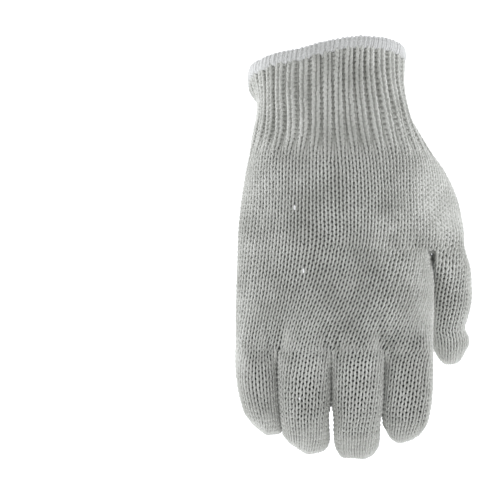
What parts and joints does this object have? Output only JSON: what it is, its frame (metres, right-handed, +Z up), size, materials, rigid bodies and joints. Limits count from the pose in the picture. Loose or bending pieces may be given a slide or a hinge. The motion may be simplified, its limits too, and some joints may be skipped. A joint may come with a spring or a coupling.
{
  "type": "knitted work glove",
  "caption": "Seamless knitted work glove in its worn shape, with a ribbed cuff, an overlocked hem round the wrist, and closed fingers and thumb.",
  "frame": {"origin": "middle of the wrist opening, where a forearm or a display hand holds the glove up", "axes": "+Z up out of the wrist towards the forearm, with the fingers hanging down; -Y is the back of the hand, +Y the palm's side, +X the thumb's side"},
  "size_m": [0.1341, 0.0579, 0.2325],
  "materials": {
    "string_knit": "matt, fuzzy off-white cotton and polyester string in open stitches",
    "overlock_thread": "matt, paler textured thread wrapped closely round the edge"
  },
  "bodies": {
    "root": {"overlock_hem": "overlock_thread", "ribbed_cuff": "string_knit", "hand_body": "string_knit", "lower_palm": "string_knit", "thumb": "string_knit", "index_finger": "string_knit", "middle_finger": "string_knit", "ring_finger": "string_knit", "little_finger": "string_knit"}
  },
  "joints": []
}
